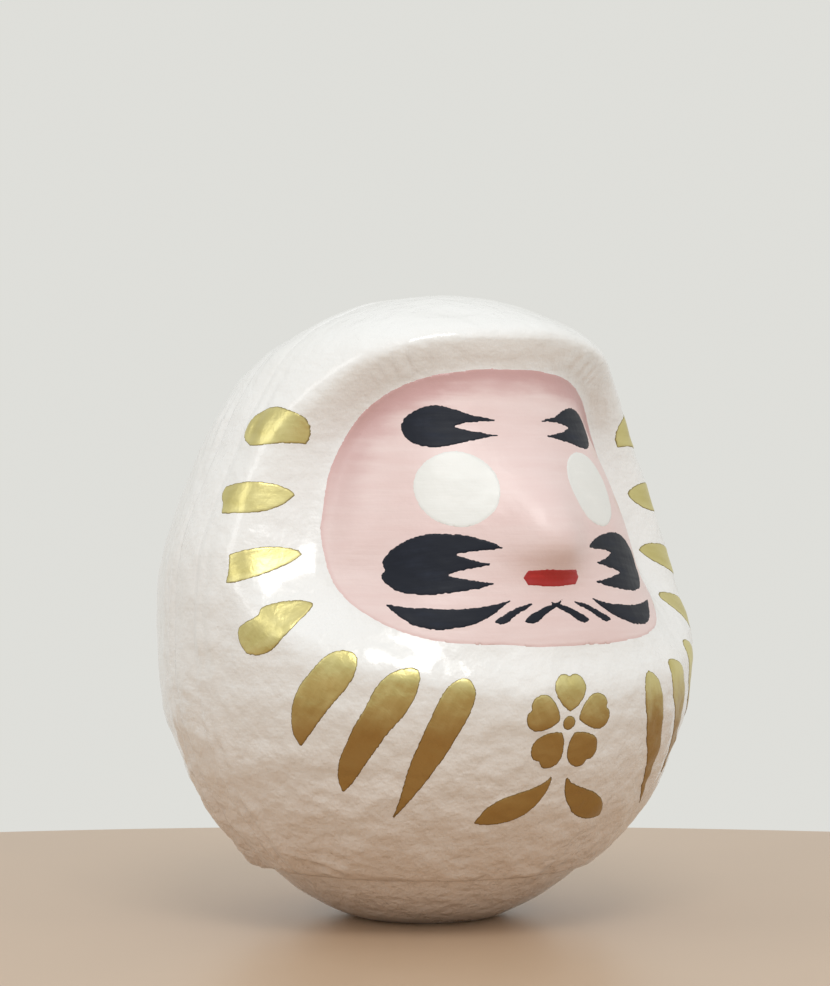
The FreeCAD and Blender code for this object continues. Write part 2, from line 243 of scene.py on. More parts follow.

# %% [markdown]
# ### Flesh pink
#
# The face is one coat of pale pink, brushed sideways. The brush leaves the paint thin in streaks.
# Along the top, under the hood, the pink is painted deeper and darker: painted shade of the hood,
# together with some paint piled where the strokes overlap.

# %% Flesh pink finish
def flesh_pink():
    material, bench, place = start_finish("flesh_pink")
    height_up = bench.wire("ShaderNodeSeparateXYZ", (), {0: place}, out="Z")
    edge = to_edge(bench)
    streak = bench.grain(place, (26.0, 26.0, 2.2), 4.0, 11.0, 0.4)
    cloud = bench.grain(place, 17.0, 2.0, 12.0)
    colour = bench.blend(
        bench.ease(streak + cloud * 0.6, -1.0, 1.2), (0.78, 0.60, 0.59, 1), (0.83, 0.68, 0.675, 1)
    )
    wander = bench.grain(place, (14.0, 14.0, 5.0), 3.0, 13.0)
    # Painted shade: a darker pink band along the top edge under the hood, partly piled paint.
    hood_shade = 1.0 - bench.ease(edge + wander * 3.0 + streak * 1.2, 2.0, 8.5)
    hood_shade = hood_shade * bench.ease(height_up, 100.0, 140.0)
    colour = bench.blend(hood_shade * 0.9, colour, (0.58, 0.34, 0.34, 1))
    rim = 1.0 - bench.ease(edge, 0.2, 1.1)
    colour = bench.blend(rim * 0.35, colour, (0.70, 0.42, 0.42, 1))
    drag = bench.grain(place, (12.0, 12.0, 0.8), 3.0, 14.0)
    height = drag * 0.022 + bench.grain(place, 3.6, 3.0, 15.0) * 0.06
    rough = 0.38 + 0.07 * streak
    fixed = {"Coat Weight": 0.14, "Coat Roughness": 0.18, "IOR": 1.46}
    end_finish(bench, colour, rough, height, fixed)
    return material


face_pink = flesh_pink()
print("made", face_pink.name)

# %% [markdown]
# ### Brush black, red and eye white
#
# These marks are quick strokes of a soft brush. The paint is dense where the brush pressed and
# thin where it dragged, so the middle fades in streaks along the stroke, while the edge, where the
# wet paint dried last, stays darkest. The eyes are left blank white, for the owner to fill in.

# %% Brush stroke finishes
def brush_colour(name, dense, faded, fade, rough_middle, coat, shine):
    material, bench, place = start_finish(name)
    stroke = stroke_place(bench)
    edge = to_edge(bench)
    streak = bench.grain(stroke, (15.0, 1.3, 1.0), 4.0, 21.0, 0.25)
    patch = bench.grain(stroke, (9.0, 5.0, 1.0), 3.0, 22.0)
    thin = bench.ease(streak * 0.55 + patch, -0.1, 1.3) * bench.ease(edge, 0.35, 1.6)
    colour = bench.blend(thin * fade, dense, faded)
    drag = bench.grain(stroke, (11.0, 0.55, 1.0), 3.0, 23.0)
    height = drag * 0.012 + bench.grain(place, 2.6, 3.0, 24.0) * 0.03
    rough = rough_middle + 0.10 * streak + 0.08 * thin
    fixed = {"Coat Weight": coat, "Coat Roughness": 0.2, "Specular IOR Level": shine}
    end_finish(bench, colour, rough, height, fixed)
    return material


black = brush_colour("brush_black", (0.006, 0.009, 0.019, 1), (0.020, 0.027, 0.048, 1), 0.85, 0.5, 0.0, 0.25)
red = brush_colour("brush_red", (0.40, 0.010, 0.012, 1), (0.62, 0.030, 0.028, 1), 0.9, 0.33, 0.3, 0.5)
eye_white = brush_colour("eye_white", (0.80, 0.81, 0.80, 1), (0.88, 0.885, 0.875, 1), 0.8, 0.42, 0.2, 0.5)
print("made", black.name, red.name, eye_white.name)

# %% [markdown]
# ### Gold
#
# The gold is a metallic paint, thick and a little crinkled. It is really a metal surface, so it is
# dark or bright by what it mirrors. What makes it read as gold paint and not as a gold sheet is the
# fine crinkle across the stroke and the dark line where the binder ran out past the powder. Low on
# the doll the gold is also painted brown bronze: painted reflection of the table below.

# %% Gold finish
def gold_paint():
    material, bench, place = start_finish("gold_paint")
    stroke = stroke_place(bench)
    edge = to_edge(bench)
    height_up = bench.wire("ShaderNodeSeparateXYZ", (), {0: place}, out="Z")
    patch = bench.grain(stroke, (8.0, 4.0, 1.0), 3.0, 31.0)
    colour = bench.blend(
        bench.ease(patch, -0.9, 0.9), (0.60, 0.52, 0.20, 1), (0.78, 0.71, 0.35, 1)
    )
    # Painted reflection: the gold turns brown bronze towards the bottom, as if mirroring the table.
    painted_table_reflection = 1.0 - bench.ease(height_up + patch * 3.0, 52.0, 71.0)
    colour = bench.blend(painted_table_reflection * 0.9, colour, (0.40, 0.245, 0.085, 1))
    rim = 1.0 - bench.ease(edge, 0.12, 0.5)
    colour = bench.blend(rim * 0.8, colour, (0.16, 0.11, 0.04, 1))
    crinkle = bench.grain(stroke, (1.3, 2.2, 1.0), 3.0, 32.0, 0.8)
    drag = bench.grain(stroke, (14.0, 0.7, 1.0), 2.0, 33.0)
    height = crinkle * 0.04 + drag * 0.012 + bench.grain(place, 5.0, 2.0, 34.0) * 0.05
    rough = 0.38 + 0.06 * patch + 0.25 * rim
    end_finish(bench, colour, rough, height, {"Metallic": 1.0})
    return material


gold = gold_paint()
print("made", gold.name)

# %% [markdown]
# ### Clay and glue
#
# The weight and the glue are shut inside and never show, but they are pieces of the doll and may
# be looked at on their own. Raw clay is matt, sandy and uneven; dried glue is amber and slightly shiny.

# %% Clay and glue finishes
def plain_stuff(name, light, dark, size, depth, rough_middle):
    material, bench, place = start_finish(name)
    cloud = bench.grain(place, size * 3.0, 4.0, 41.0)
    colour = bench.blend(bench.ease(cloud, -0.8, 0.8), dark, light)
    grit = bench.grain(place, size, 4.0, 42.0)
    end_finish(bench, colour, rough_middle + 0.08 * grit, grit * depth)
    return material


clay = plain_stuff("raw_clay", (0.42, 0.30, 0.21, 1), (0.27, 0.18, 0.12, 1), 2.0, 0.12, 0.85)
glue = plain_stuff("dried_glue", (0.72, 0.58, 0.34, 1), (0.52, 0.38, 0.18, 1), 4.0, 0.05, 0.35)
for name, finish in (("clay_weight", clay), ("glue_bead", glue)):
    slots = nodes[name].data.materials
    slots.clear()
    slots.append(finish)
    print(name, "has the finish", finish.name)

# %% [markdown]
# ## The skin of the pulp
#
# Wet pulp is pressed into a mould by hand and dries crooked. Its skin has broad hollows, lumps as
# wide as a fingertip, and creases that run round the doll low down, where the pulp sagged. This
# has to be real shape, because it bends the outline and the highlights. A Geometry Nodes tree
# moves each point along its own outward direction. The lumps depend only on the place, so pieces
# that meet are moved alike and stay together. Two attributes guide it: `outward`, the way to move,
# and `calm`, which is small where the mould was smooth.

# %% The tree that lumps a surface
def new_tree(name, inputs):
    """An empty Geometry Nodes tree with the named inputs, its bench and its inputs as wires."""
    tree = bpy.data.node_groups.new(name, "GeometryNodeTree")
    tree.interface.new_socket("Geometry", in_out="INPUT", socket_type="NodeSocketGeometry")
    for label, kind in inputs:
        tree.interface.new_socket(label, in_out="INPUT", socket_type=kind)
    tree.interface.new_socket("Geometry", in_out="OUTPUT", socket_type="NodeSocketGeometry")
    bench = Bench(tree)
    start = bench.node("NodeGroupInput")
    return tree, bench, {socket.name: Wire(bench, socket) for socket in start.outputs}


def end_tree(bench, shape, material):
    """Realize Instances, Set Material and the output."""
    real = bench.wire("GeometryNodeRealizeInstances", (), {0: shape})
    dressed = bench.wire("GeometryNodeSetMaterial", (), {"Geometry": real, "Material": material})
    bench.node("NodeGroupOutput", (), {0: dressed})


def named(bench, name, kind):
    return bench.wire("GeometryNodeInputNamedAttribute", {"data_type": kind}, {"Name": name})


FLOAT = "NodeSocketFloat"
skin_inputs = [(label, FLOAT) for label in ("Hollows", "Lumps", "Creases", "Seam ridges", "Seed")]
skin_tree, bench, given = new_tree("pulp_skin", skin_inputs + [("Finish", "NodeSocketMaterial")])
place = bench.vector("MULTIPLY", bench.wire("GeometryNodeInputPosition"), (1000.0,) * 3)
xyz = bench.node("ShaderNodeSeparateXYZ", (), {0: place})
y_mm, z_mm = (Wire(bench, xyz.outputs[axis]) for axis in ("Y", "Z"))
low = 1.0 - bench.ease(z_mm, 34.0, 88.0)
seed = given["Seed"]
hollows = bench.grain(place, 36.0, 1.0, seed) * given["Hollows"]
lumps = bench.grain(place, (13.0, 13.0, 10.0), 2.6, seed + 1.0) * given["Lumps"] * (0.4 + 0.6 * low)
print("inputs of the skin:", [label for label, kind in skin_inputs])

# %% [markdown]
# A crease is a ridge in the noise: where it crosses zero, one minus its size comes to a point.
# Stretching the noise sideways makes the creases run round the doll. The ridges beside the joint
# are the edges of the pasted paper, so they follow |y| with a slow wobble.

# %% Creases, seam ridges and the move itself
fold = bench.grain(place, (20.0, 20.0, 7.5), 2.0, seed + 2.0, 0.5)
ridge = 1.0 - bench.ease(bench.math("ABSOLUTE", fold), 0.0, 0.42)
where = bench.ease(bench.grain(place, 25.0, 1.0, seed + 3.0), -0.1, 0.5)
near_foot = 1.0 - bench.ease(z_mm, 22.0, 60.0)
creases = ridge * where * near_foot * given["Creases"]
wobble = bench.grain(place, (400.0, 400.0, 17.0), 2.0, seed + 4.0)
side = bench.math("ABSOLUTE", y_mm)
strength = bench.ease(bench.grain(place, (300.0, 300.0, 26.0), 1.0, seed + 5.0), -0.7, 0.5)
pasted = bench.bell(side - 8.2 - wobble * 1.6, 1.5) + bench.bell(side - 13.0 - wobble * 3.0, 2.4) * 0.8
pasted = pasted * strength * given["Seam ridges"] * (1.0 - bench.ease(z_mm, 120.0, 158.0))
height = (hollows + lumps + creases + pasted) * named(bench, "calm", "FLOAT") * MM
offset = bench.wire(
    "ShaderNodeVectorMath",
    {"operation": "SCALE"},
    {0: named(bench, "outward", "FLOAT_VECTOR"), "Scale": height},
)
moved = bench.wire("GeometryNodeSetPosition", (), {"Geometry": given["Geometry"], "Offset": offset})
end_tree(bench, moved, given["Finish"])
print("nodes in the skin tree:", len(skin_tree.nodes))

# %% [markdown]
# A finished piece is a plain mesh: the modifiers are evaluated, the result is stored, and the
# modifiers go. Every piece is moved by the same values, so that neighbours agree.

# %% Dress a piece
def add_tree(piece, tree, values):
    """A Geometry Nodes modifier whose inputs are set by their identifiers."""
    modifier = piece.modifiers.new(tree.name, "NODES")
    modifier.node_group = tree
    for socket in tree.interface.items_tree:
        if socket.item_type == "SOCKET" and socket.name in values:
            modifier[socket.identifier] = values[socket.name]


def give_wall(piece, thickness):
    """Thickens a skin inwards, so that its outer side stays where it is."""
    wall = piece.modifiers.new("wall", "SOLIDIFY")
    wall.thickness = thickness
    wall.offset = -1.0


def bake_down(piece, crisp):
    """Turns modifiers into plain mesh, smooth-shaded except at corners over crisp degrees."""
    bpy.context.view_layer.update()
    depsgraph = bpy.context.evaluated_depsgraph_get()
    mesh = bpy.data.meshes.new_from_object(piece.evaluated_get(depsgraph))
    piece.modifiers.clear()
    piece.data = mesh
    mesh.polygons.foreach_set("use_smooth", [True] * len(mesh.polygons))
    mesh.set_sharp_from_angle(angle=math.radians(crisp))


def new_piece(name, points, faces):
    mesh = bpy.data.meshes.new(name)
    mesh.from_pydata(points, [], faces)
    piece = bpy.data.objects.new(name, mesh)
    bpy.context.scene.collection.objects.link(piece)
    return piece


def stand_for(piece, node):
    """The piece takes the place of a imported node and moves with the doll."""
    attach(piece, "root")
    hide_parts(node)
    piece.data.calc_loop_triangles()
    print(f"{piece.name}: {len(piece.data.loop_triangles)} triangles")


def lump(piece, finish, outward, calm):
    """Adds the pulp's skin to a piece."""
    way = piece.data.attributes.new("outward", "FLOAT_VECTOR", "POINT")
    way.data.foreach_set("vector", [value for vector in outward for value in vector])
    quiet = piece.data.attributes.new("calm", "FLOAT", "POINT")
    quiet.data.foreach_set("value", calm)
    values = {"Hollows": 1.0, "Lumps": 1.25, "Creases": 0.9, "Seam ridges": 1.4, "Seed": 4.0}
    add_tree(piece, skin_tree, {**values, "Finish": finish})


# %% [markdown]
# ## The two halves of the body
#
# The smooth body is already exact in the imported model, but its triangles are long and uneven, and
# lumping them would crumple it. So each half is wrapped in a fresh, even net: points are dropped
# from an egg round the body, straight in along the egg's normals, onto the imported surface. The
# net is a little finer in front, where the face is.

# %% The egg and the drop onto the smooth body
def tree_of(objects):
    """One search tree of the triangles of several objects."""
    points = []
    triangles = []
    for one in objects:
        one.data.calc_loop_triangles()
        start = len(points)
        points += [vertex.co.copy() for vertex in one.data.vertices]
        triangles += [[start + i for i in t.vertices] for t in one.data.loop_triangles]
    return BVHTree.FromPolygons(points, triangles)


smooth_body = tree_of([nodes["front_shell"], nodes["back_shell"]])
shell_low, shell_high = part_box("back_shell")
EGG_RADIUS = shell_high.x
EGG_LEVEL = 0.44 * shell_high.z
EGG_UP = shell_high.z - EGG_LEVEL
EGG_DOWN = 0.0768
AWAY = 0.03


def egg(climb, turn):
    """A point on the egg and its outward direction: climb from -90 to 90 degrees, turn from -Y."""
    tall = EGG_UP if climb > 0 else EGG_DOWN
    c, s = math.cos(climb), math.sin(climb)
    across, up = EGG_RADIUS * c, EGG_LEVEL + tall * s
    slope = Vector((c / EGG_RADIUS, s / tall)).normalized()
    round_it = Vector((math.sin(turn), -math.cos(turn), 0))
    return round_it * across + Vector((0, 0, up)), round_it * slope.x + Vector((0, 0, slope.y))


def drop(point, outward):
    """Where a point outside the body lands when it is pushed straight in."""
    return smooth_body.ray_cast(point + outward * AWAY, -outward)[0]


def lowest_climb(level):
    """The climb at which the drop lands at a level near the foot."""
    low_climb, high_climb = math.radians(-70), 0.0
    for step in range(30):
        middle = (low_climb + high_climb) / 2
        landed = drop(*egg(middle, math.pi))
        if landed is None or landed.z < level:
            low_climb = middle
        else:
            high_climb = middle
    return high_climb


LIP_LEVEL = shell_low.z
LIP_ROUNDING = 1.7 * MM
last_climb = lowest_climb(LIP_LEVEL + LIP_ROUNDING)
ROWS = 186
climbs = [math.pi / 2 + (last_climb - math.pi / 2) * row / ROWS for row in range(ROWS + 1)]
print("the net ends at a climb of", round(math.degrees(last_climb), 1), "degrees")

# %% [markdown]
# Below its last dropped row the body turns in under itself, over the foot. That rounded lip is a
# few more rings. The face is calmer than the rest, because it is pressed harder into its mould, and
# the turned-in lip is not moved at all, so that it still sits flat on the dish.

# %% Wrap one half of the body
SHELL_WALL = 1.8 * MM
# Each ring of the lip: how far in and how far up in millimetres, and how calm.
LIP_RINGS = [(1.2, 0.75, 0.7), (2.6, 0.2, 0.35), (4.0, 0.03, 0.0), (7.5, 0.0, 0.0), (12.9, 0.0, 0.0)]
FACE_LEVEL = 0.111
FACE_HALF_WIDE = 0.050
FACE_HALF_TALL = 0.040


def calm_at(point):
    """1 on the body, less within the oval of the face."""
    away = ((point.x / FACE_HALF_WIDE) ** 2 + ((point.z - FACE_LEVEL) / FACE_HALF_TALL) ** 2) ** 0.5
    in_face = max(0.0, min(1.0, (1.25 - away) / 0.35)) if point.y < 0 else 0.0
    return 1.0 - 0.55 * in_face


def wrap_half(name, first, last, columns):
    """The outer skin of one half: crown, rows down to the lip, and the rings of the lip."""
    crown = drop(*egg(math.pi / 2, 0.0))
    points, outward, calm = [crown], [Vector((0, 0, 1))], [calm_at(crown)]
    for climb in climbs[1:]:
        for column in range(columns + 1):
            start, way = egg(climb, first + (last - first) * column / columns)
            landed = drop(start, way)
            points.append(landed)
            outward.append(way)
            calm.append(calm_at(landed))
    edge = points[-(columns + 1):]
    for inward, up, quiet in LIP_RINGS:
        for column, lip in enumerate(edge):
            flat = Vector((lip.x, lip.y, 0))
            shrunk = flat * (1 - inward * MM / flat.length)
            points.append(shrunk + Vector((0, 0, LIP_LEVEL + up * MM)))
            outward.append(outward[1 + (ROWS - 1) * (columns + 1) + column])
            calm.append(quiet)
    wide = columns + 1
    faces = [(0, 1 + j, 2 + j) for j in range(columns)]
    for i in range(ROWS - 1 + len(LIP_RINGS)):
        for j in range(columns):
            a = 1 + i * wide + j
            faces.append((a, a + wide, a + wide + 1, a + 1))
    return new_piece(name, points, faces), outward, calm


def make_half(name, node, first, last, columns):
    piece, outward, calm = wrap_half(name, math.radians(first), math.radians(last), columns)
    lump(piece, body_white, outward, calm)
    give_wall(piece, SHELL_WALL)
    bake_down(piece, 50)
    stand_for(piece, node)
    return piece


front = make_half("front_shell_pulp", "front_shell", -90, 90, 216)
back = make_half("back_shell_pulp", "back_shell", 90, 270, 168)

# %% [markdown]
# ## The pasted strip
#
# The joint between the halves is hidden by a strip of paper, soaked in paste and rubbed down, so
# that only a low swelling shows. It runs from the lip up one side, over the crown and down the
# other. It is dropped onto the smooth body like the halves, raised by its thickness, and sunk
# below the surface along both edges, so that it rises out of the body without a step.

# %% Paste the strip over the joint
STRIP_HALF = 6.0 * MM
PAPER_WALL = 0.4 * MM
STRIP_ACROSS = [-1.0, -0.92, -0.8, -0.6, -0.3, 0.0, 0.3, 0.6, 0.8, 0.92, 1.0]
STRIP_RAISED = [-0.25, 0.02, 0.16, 0.27, 0.33, 0.34, 0.33, 0.27, 0.16, 0.02, -0.25]


def paste_strip():
    route = [(climb, -math.pi / 2) for climb in reversed(climbs)]
    route += [(climb, math.pi / 2) for climb in climbs[1:]]
    points, outward, calm = [], [], []
    for climb, turn in route:
        start, way = egg(climb, turn)
        for share, raised in zip(STRIP_ACROSS, STRIP_RAISED):
            ragged = 1.0 + 0.10 * noise.noise(start * 90 + Vector((0, share * 5, 0)))
            shifted = start + Vector((0, share * STRIP_HALF * ragged, 0))
            points.append(drop(shifted, way) + way * raised * MM)
            outward.append(way)
            calm.append(calm_at(points[-1]))
    wide = len(STRIP_ACROSS)
    faces = []
    for i in range(len(route) - 1):
        for j in range(wide - 1):
            a = i * wide + j
            faces.append((a, a + wide, a + wide + 1, a + 1))
    piece = new_piece("seam_strip_paper", points, faces)
    lump(piece, body_white, outward, calm)
    give_wall(piece, PAPER_WALL)
    bake_down(piece, 60)
    stand_for(piece, "seam_strip")


paste_strip()

# %% [markdown]
# ## The foot
#
# The dish is a piece of a sphere with a small flat to stand on, so its shape follows a rule, and a
# second Geometry Nodes tree makes it from a flat grid: one side of the grid goes round, the other
# goes out. The tree works out the sphere from the rim, the height and the flat. It also leaves
# `outward` and `calm` on its points, so that the pulp's skin can follow; the flat stays flat.

# %% The tree that turns a grid into a dish
dish_inputs = [(label, FLOAT) for label in ("Rim radius", "Height", "Flat radius")]
dish_tree, bench, given = new_tree("foot_dish_form", dish_inputs + [("Finish", "NodeSocketMaterial")])
rim, tall, flat = given["Rim radius"], given["Height"], given["Flat radius"]
centre = (rim * rim + tall * tall - flat * flat) / (tall * 2.0)
ball = bench.math("SQRT", flat * flat + centre * centre)
grid_feeds = {"Size X": 1.0, "Size Y": 1.0, "Vertices X": 241, "Vertices Y": 56}
grid = bench.wire("GeometryNodeMeshGrid", (), grid_feeds)
where = bench.node("ShaderNodeSeparateXYZ", (), {0: bench.wire("GeometryNodeInputPosition")})
turn = Wire(bench, where.outputs["X"]) * (2.0 * math.pi)
out = (Wire(bench, where.outputs["Y"]) + 0.5) * rim
drop_in = bench.math("SQRT", bench.math("MAXIMUM", ball * ball - out * out, 0.0))
rise = bench.math("MAXIMUM", centre - drop_in, 0.0)
cos_turn, sin_turn = bench.math("COSINE", turn), bench.math("SINE", turn)
spot = bench.wire("ShaderNodeCombineXYZ", (), {0: out * cos_turn, 1: out * sin_turn, 2: rise})
way = bench.wire("ShaderNodeCombineXYZ", (), {0: out * cos_turn, 1: out * sin_turn, 2: rise - centre})
way = bench.vector("NORMALIZE", way)
quiet = bench.ease(out, flat + 0.001, flat + 0.010) * (1.0 - bench.ease(out, rim - 0.004, rim) * 0.6)
shape = grid
for label, kind, value in (("outward", "FLOAT_VECTOR", way), ("calm", "FLOAT", quiet)):
    feeds = {"Geometry": shape, "Name": label, "Value": value}
    shape = bench.wire("GeometryNodeStoreNamedAttribute", {"data_type": kind}, feeds)
shape = bench.wire("GeometryNodeSetPosition", (), {"Geometry": shape, "Position": spot})
shape = bench.wire("GeometryNodeMergeByDistance", (), {"Geometry": shape, "Distance": 0.00001})
end_tree(bench, shape, given["Finish"])

# %% Make the dish
DISH_WALL = 2.0 * MM
FLAT_RADIUS = 19.0 * MM
dish_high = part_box("foot_dish")[1]
foot = new_piece("foot_dish_pulp", [(0, 0, 0)], [])
dish_values = {"Rim radius": dish_high.x, "Height": dish_high.z, "Flat radius": FLAT_RADIUS}
add_tree(foot, dish_tree, {**dish_values, "Finish": foot_white})
quieter = {"Hollows": 0.5, "Lumps": 0.3, "Creases": 0.25, "Seam ridges": 0.0, "Seed": 9.0}
add_tree(foot, skin_tree, {**quieter, "Finish": foot_white})
give_wall(foot, DISH_WALL)
bake_down(foot, 50)
stand_for(foot, "foot_dish")

# %% [markdown]
# ## Paint that lies on the lumps
#
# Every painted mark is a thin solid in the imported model, but it lies on the smooth body, and the
# lumps would swallow it here and leave it hanging there. So a mark's outline is read from its node,
# its edge is roughened as a brush leaves it, the inside is filled with an even net, and the net is
# draped on the lumped body. The distance from the edge and the place along the stroke are kept on
# the mesh for the finishes.

# %% Read a mark's outline from its node
SAME_SPOT = 0.002 * MM
OUTER_SIDE = 0.25


def facing(node):
    """The level direction in which a mark looks, and the direction sideways along it."""
    middle = sum((vertex.co for vertex in nodes[node].data.vertices), Vector())
    out = Vector((middle.x, middle.y, 0)).normalized()
    return out, Vector((-out.y, out.x, 0))


def outlines(node, out, along):
    """The closed outlines of a mark's outer side, each a list of (along, up) in metres."""
    mesh = nodes[node].data
    names, spots = {}, []
    merged = []
    for vertex in mesh.vertices:
        key = tuple(round(value / SAME_SPOT) for value in vertex.co)
        if key not in names:
            names[key] = len(spots)
            spots.append(vertex.co.copy())
        merged.append(names[key])
    following = {}
    for face in mesh.polygons:
        if face.normal.dot(out) > OUTER_SIDE:
            corners = [merged[i] for i in face.vertices]
            for a, b in zip(corners, corners[1:] + corners[:1]):
                following[(a, b)] = True
    border = {}
    for a, b in following:
        if (b, a) not in following and a != b:
            border.setdefault(a, []).append(b)
    loops = []
    while border:
        start = next(iter(border))
        loop, current = [start], start
        while True:
            options = border[current]
            current = options.pop()
            if not options:
                del border[loop[-1]]
            if current == start or current not in border:
                break
            loop.append(current)
        if len(loop) > 5:
            loops.append([Vector((spots[i].dot(along), spots[i].z)) for i in loop])
    return loops


for node in ("brow_left", "face_paint", "gold_blossom", "crossed_whiskers"):
    print(node, "has outlines of", [len(loop) for loop in outlines(node, *facing(node))], "points")

# %% [markdown]
# The outline is walked in equal steps, and each point is pushed in or out a little by noise. Two
# sizes of noise do it: a slow one for the sway of the hand and a quick one for the hairs of the
# brush.

# %% Walk and roughen an outline
def walk(loop, step):
    """The closed outline in equal steps."""
    lengths = [(b - a).length for a, b in zip(loop, loop[1:] + loop[:1])]
    total = sum(lengths)
    count = max(12, round(total / step))
    spots = []
    index, passed = 0, 0.0
    for k in range(count):
        target = total * k / count
        while passed + lengths[index] < target:
            passed += lengths[index]
            index += 1
        share = (target - passed) / max(lengths[index], 1e-12)
        spots.append(loop[index].lerp(loop[(index + 1) % len(loop)], share))
    return spots


def roughen(spots, sway, hairs):
    """Pushes the outline's points in and out; sway and hairs are (size, depth) in millimetres."""
    rough = []
    for k, spot in enumerate(spots):
        tangent = spots[(k + 1) % len(spots)] - spots[k - 1]
        normal = Vector((tangent.y, -tangent.x)).normalized()
        at = Vector((spot.x, spot.y, 0.37)) / MM
        push = sum(depth * noise.noise(at / size) for size, depth in (sway, hairs))
        rough.append(spot + normal * push * MM)
    return rough


# %% Fill an outline with an even net
def fill_net(loops, step):
    """Points and triangles inside the outlines. The outlines' own points come first."""
    points = [spot for loop in loops for spot in loop]
    edges = []
    first = 0
    for loop in loops:
        edges += [(first + k, first + (k + 1) % len(loop)) for k in range(len(loop))]
        first += len(loop)
    border = kdtree.KDTree(len(points))
    for k, spot in enumerate(points):
        border.insert((spot.x, spot.y, 0), k)
    border.balance()
    low, high = min(p.y for p in points), max(p.y for p in points)
    rows = int((high - low) / (step * 0.866)) + 1
    inside = []
    for row in range(1, rows):
        y = low + row * step * 0.866
        crossings = []
        for a, b in edges:
            p, q = points[a], points[b]
            if (p.y > y) != (q.y > y):
                crossings.append(p.x + (q.x - p.x) * (y - p.y) / (q.y - p.y))
        crossings.sort()
        for enter, leave in zip(crossings[::2], crossings[1::2]):
            k = math.ceil(enter / step)
            while k * step < leave:
                x = (k + 0.5 * (row % 2)) * step
                if enter < x < leave and border.find((x, y, 0))[2] > step * 0.55:
                    inside.append(Vector((x, y)))
                k += 1
    made = delaunay_2d_cdt(points + inside, edges, [], 1, 1e-8)
    spots, triangles = made[0], made[2]
    away = [border.find((p.x, p.y, 0))[2] for p in spots]
    return spots, triangles, away


# %% [markdown]
# Paint thins to nothing at its edge. The outermost points are sunk just below whatever lies under
# the mark, and the rest is raised by the thickness of the coat, so the edge reads as a soft step. A
# second sheet of points under the surface closes each mark to a solid. `COAT` gives, in millimetres
# for a mark on the body and for one on the face, the height of the sunk edge and of the rest.

# %% Drape the net on the lumped body
lumped_body = tree_of([front, back])
COAT = {"body": (-0.04, 0.11), "face": (0.06, 0.20)}
COAT_DEPTH = 0.25
EDGE_SLOPE = 0.45 * MM
OUTSIDE = 0.12


def drape(node, finish, slot, step, coat, sway, hairs, upright=False):
    """One painted mark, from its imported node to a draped, closed solid called NODE_coat."""
    out, along = facing(node)
    loops = [roughen(walk(loop, step * 0.8), sway, hairs) for loop in outlines(node, out, along)]
    spots, triangles, away = fill_net(loops, step)
    sunk, raised = COAT[coat]
    top, under = [], []
    for spot, gap in zip(spots, away):
        start = along * spot.x + out * OUTSIDE + Vector((0, 0, spot.y))
        landed, normal = lumped_body.ray_cast(start, -out)[:2]
        share = min(1.0, gap / EDGE_SLOPE)
        lift = sunk + (raised - sunk) * share * (2 - share)
        top.append(landed + normal * lift * MM)
        under.append(landed - normal * COAT_DEPTH * MM)
    count = len(spots)
    faces = [tuple(t) for t in triangles]
    seen = {(t[k], t[(k + 1) % 3]) for t in faces for k in range(3)}
    if (top[faces[0][1]] - top[faces[0][0]]).cross(top[faces[0][2]] - top[faces[0][0]]).dot(out) < 0:
        faces = [t[::-1] for t in faces]
        seen = {(b, a) for a, b in seen}
    borders = [(a, b) for a, b in seen if (b, a) not in seen]
    bottoms = [tuple(count + i for i in reversed(t)) for t in faces]
    sides = [(b, a, count + a, count + b) for a, b in borders]
    piece = new_piece(node + "_coat", top + under, faces + bottoms + sides)
    mesh = piece.data
    edge = mesh.attributes.new("to_edge", "FLOAT", "POINT")
    edge.data.foreach_set("value", [gap / MM for gap in away] * 2)
    stroke_map(mesh, spots, upright)
    mesh.materials.append(finish)
    mesh.polygons.foreach_set("use_smooth", [True] * len(mesh.polygons))
    mesh.set_sharp_from_angle(angle=math.radians(70))
    stand_for(piece, node)
    return piece


def stroke_map(mesh, spots, upright):
    """The UV map: X along the mark's long axis, Y across it, in tenths of a metre."""
    middle = sum(spots, Vector((0, 0))) / len(spots)
    xx = sum((p.x - middle.x) ** 2 for p in spots)
    yy = sum((p.y - middle.y) ** 2 for p in spots)
    xy = sum((p.x - middle.x) * (p.y - middle.y) for p in spots)
    lean = 0.0 if upright else 0.5 * math.atan2(2 * xy, xx - yy)
    c, s = math.cos(lean), math.sin(lean)
    places = []
    for p in spots:
        q = (p - middle) * 10
        places.append((q.x * c + q.y * s, q.y * c - q.x * s))
    uv = mesh.uv_layers.new(name="stroke")
    flat = []
    for loop in mesh.loops:
        flat += places[loop.vertex_index % len(places)]
    uv.data.foreach_set("uv", flat)


# %% [markdown]
# ### The face, the eyes and the black strokes
#
# The pink coat is one large mark that lies on the body. The eyes, the brows, the beard, the
# whiskers and the mouth lie on the pink, so they are raised a coat higher. The pink's edge sways
# slowly, because it was cut in with a wide brush; the black is ragged from a thin one.

# %% Paint the face
PINK = (face_pink, "pink_paint", 0.72 * MM, "body", (11, 0.5), (2.5, 0.12), True)
RED = (red, "red_paint", 0.4 * MM, "face", (5, 0.2), (1.0, 0.12))
FINE_BLACK = (black, "black_paint", 0.35 * MM, "face", (4, 0.15), (0.7, 0.16))
BROAD_BLACK = (black, "black_paint", 0.42 * MM, "face", (5, 0.25), (0.8, 0.2))
BLANK = (eye_white, "white_eye_paint", 0.5 * MM, "face", (7, 0.3), (1.5, 0.06), True)
drape("face_paint", *PINK)
drape("mouth", *RED)
drape("crossed_whiskers", *FINE_BLACK)
for side in ("left", "right"):
    drape(f"eye_{side}", *BLANK)
    for mark in ("brow", "cheek_beard", "lip_beard", "outer_whisker"):
        drape(f"{mark}_{side}", *BROAD_BLACK)

# %% [markdown]
# ### The gold marks
#
# Four short marks down each side of the hood, three long ones on each side of the belly, and the
# plum blossom between them. Their edges are nearly clean, with a few nicks.

